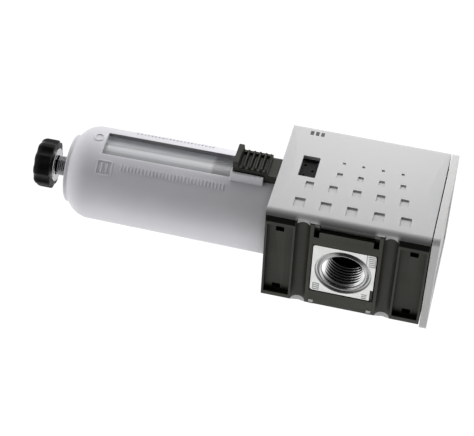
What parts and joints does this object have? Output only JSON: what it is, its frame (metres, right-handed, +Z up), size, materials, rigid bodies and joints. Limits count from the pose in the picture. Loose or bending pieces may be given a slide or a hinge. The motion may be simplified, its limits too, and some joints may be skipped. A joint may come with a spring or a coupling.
{
  "type": "compressed air filter",
  "caption": "Inline compressed air filter with threaded ports, clip-on covers, clear bayonet bowl in a slotted guard, sliding bowl lock and fluted drain knob.",
  "frame": {"origin": "middle of the straight line through the two ports", "axes": "+X out of the outlet port, -Y out of the front cover, +Z up with the bowl hanging down"},
  "size_m": [0.063, 0.0633, 0.2024],
  "materials": {
    "black_plastic": "fine-grained glass-filled polyamide",
    "grey_cover": "fine satin ABS",
    "grey_guard": "satin polyamide",
    "clear_bowl": "clear polycarbonate",
    "zinc": "nickel-bright die-cast and machined zinc",
    "steel": "plain",
    "seal": "matt nitrile rubber",
    "element": "porous sintered polyethylene"
  },
  "bodies": {
    "filter_head": {"housing": "black_plastic", "port_bushing_inlet": "zinc", "port_bushing_outlet": "zinc", "bushing_orings": "seal", "front_cover": "grey_cover", "rear_cover": "grey_cover", "top_cover": "grey_cover", "window_insert": "black_plastic", "cover_screws": "steel", "tie_stud": "steel", "swirl_deflector": "black_plastic", "element_gasket_top": "seal", "filter_element": "element", "element_gasket_bottom": "seal", "baffle": "black_plastic"},
    "bowl_unit": {"bowl": "clear_bowl", "bowl_oring": "seal", "bowl_guard": "grey_guard", "lock_spring": "steel", "drain_stem": "zinc", "drain_gasket": "seal", "drain_nut": "zinc", "drain_spring_seat": "steel", "drain_spring": "steel"},
    "lock_slider": {"lock_button": "black_plastic", "lock_tooth": "black_plastic"},
    "drain_plunger": {"drain_valve": "steel", "drain_seal": "seal"},
    "drain_handle": {"drain_knob": "black_plastic", "drain_insert": "zinc"}
  },
  "joints": [
    {"name": "bowl_turn", "type": "hinge", "parent": "filter_head", "child": "bowl_unit", "pos_m": [0, -0.0038, -0.034], "axis": [0, 0, 1], "range_deg": [0, 45]},
    {"name": "lock_slide", "type": "slide", "parent": "bowl_unit", "child": "lock_slider", "axis": [0, 0, -1], "range_m": [0, 0.0045], "stiffness_N_per_m": 600, "springref_m": -0.003, "deforming": ["lock_spring"]},
    {"name": "drain_lift", "type": "slide", "parent": "bowl_unit", "child": "drain_plunger", "axis": [0, 0, -1], "range_m": [0, 0.0009069], "stiffness_N_per_m": 400, "springref_m": -0.002, "deforming": ["drain_spring"]},
    {"name": "drain_turn", "type": "hinge", "parent": "drain_plunger", "child": "drain_handle", "pos_m": [0, -0.0038, -0.155], "axis": [0, 0, 1], "range_deg": [0, 360]}
  ],
  "couplings": [
    {"joint": "drain_turn", "follows": "drain_lift", "rad_per_m": 6927.5}
  ]
}
